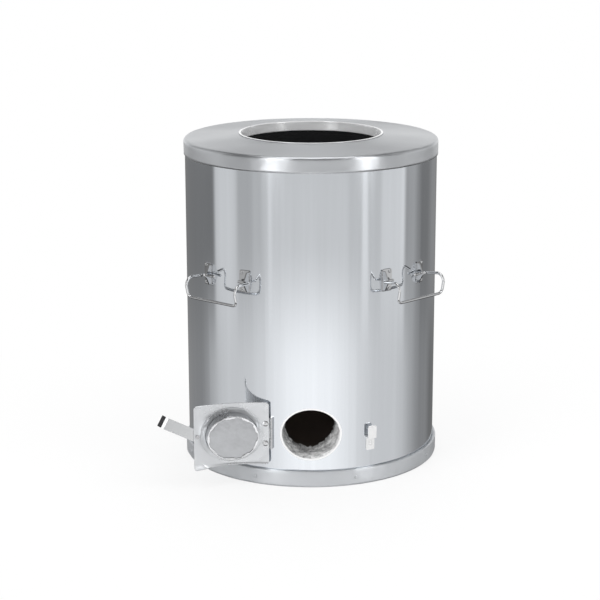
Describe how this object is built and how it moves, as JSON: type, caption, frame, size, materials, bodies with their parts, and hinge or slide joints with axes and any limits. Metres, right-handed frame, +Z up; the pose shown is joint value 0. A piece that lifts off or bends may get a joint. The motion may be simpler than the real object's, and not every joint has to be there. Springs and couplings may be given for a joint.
{
  "type": "clay tandoor oven",
  "caption": "Upright steel barrel round a clay pot, open at a round mouth on top, with a hinged plug door over its draught hole, a drop latch and wire carrying handles.",
  "frame": {"origin": "middle of the base pan's flat underside, on the barrel's axis", "axes": "+Z up along the barrel's axis, -Y out of the draught hole at the front, +X to the right seen from the front"},
  "size_m": [0.6067, 0.6359, 0.7241],
  "materials": {
    "polished_steel": "polished",
    "satin_steel": "satin",
    "rivet_steel": "polished",
    "wire_steel": "polished",
    "fired_clay": "matte",
    "mortar": "matte",
    "firebrick": "matte",
    "insulation": "matte"
  },
  "bodies": {
    "barrel": {"outer_shell": "polished_steel", "seam_strip": "polished_steel", "seam_rivets": "rivet_steel", "top_cap": "satin_steel", "mouth_collar": "satin_steel", "mouth_seal": "mortar", "base_pan": "satin_steel", "pan_rivets": "rivet_steel", "base_board": "firebrick", "refractory_floor": "firebrick", "clay_pot": "fired_clay", "insulation_fill": "insulation", "draught_sleeve": "mortar", "hinge_fixed_leaf": "satin_steel", "hinge_pin": "rivet_steel", "hinge_rivets": "rivet_steel", "latch_keeper": "satin_steel", "keeper_rivet": "rivet_steel", "bracket_1_left": "satin_steel", "bracket_1_right": "satin_steel", "bracket_2_left": "satin_steel", "bracket_2_right": "satin_steel", "bracket_3_left": "satin_steel", "bracket_3_right": "satin_steel", "bracket_4_left": "satin_steel", "bracket_4_right": "satin_steel", "bracket_rivets": "rivet_steel"},
    "door": {"door_plate": "satin_steel", "door_hinge_leaf": "satin_steel", "door_leaf_rivets": "rivet_steel", "plug_flange": "satin_steel", "plug_collar": "satin_steel", "plug_filling": "insulation", "plug_cover": "satin_steel", "latch_pivot": "rivet_steel"},
    "latch": {"latch_lever": "satin_steel"},
    "handle_1": {"handle_1": "wire_steel"},
    "handle_2": {"handle_2": "wire_steel"},
    "handle_3": {"handle_3": "wire_steel"},
    "handle_4": {"handle_4": "wire_steel"}
  },
  "joints": [
    {"name": "door_hinge", "type": "hinge", "parent": "barrel", "child": "door", "pos_m": [-0.0845, -0.26794, 0.1175], "axis": [0, 0, 1], "range_deg": [-5, 169]},
    {"name": "latch_pivot", "type": "hinge", "parent": "door", "child": "latch", "pos_m": [-0.24128, -0.29428, 0.1185], "axis": [-0.4431, 0.8965, 0], "range_deg": [-31, 10]},
    {"name": "handle_1_pivot", "type": "hinge", "parent": "barrel", "child": "handle_1", "pos_m": [-0.17865, -0.22062, 0.444], "axis": [-0.7771, 0.6293, 0], "range_deg": [-49, 96]},
    {"name": "handle_2_pivot", "type": "hinge", "parent": "barrel", "child": "handle_2", "pos_m": [0.1972, -0.20421, 0.444], "axis": [-0.7193, -0.6947, 0], "range_deg": [-53, 92]},
    {"name": "handle_3_pivot", "type": "hinge", "parent": "barrel", "child": "handle_3", "pos_m": [0.18995, 0.21097, 0.444], "axis": [0.7431, -0.6691, 0], "range_deg": [-53, 92]},
    {"name": "handle_4_pivot", "type": "hinge", "parent": "barrel", "child": "handle_4", "pos_m": [-0.18995, 0.21097, 0.444], "axis": [0.7431, 0.6691, 0], "range_deg": [-49, 96]}
  ]
}
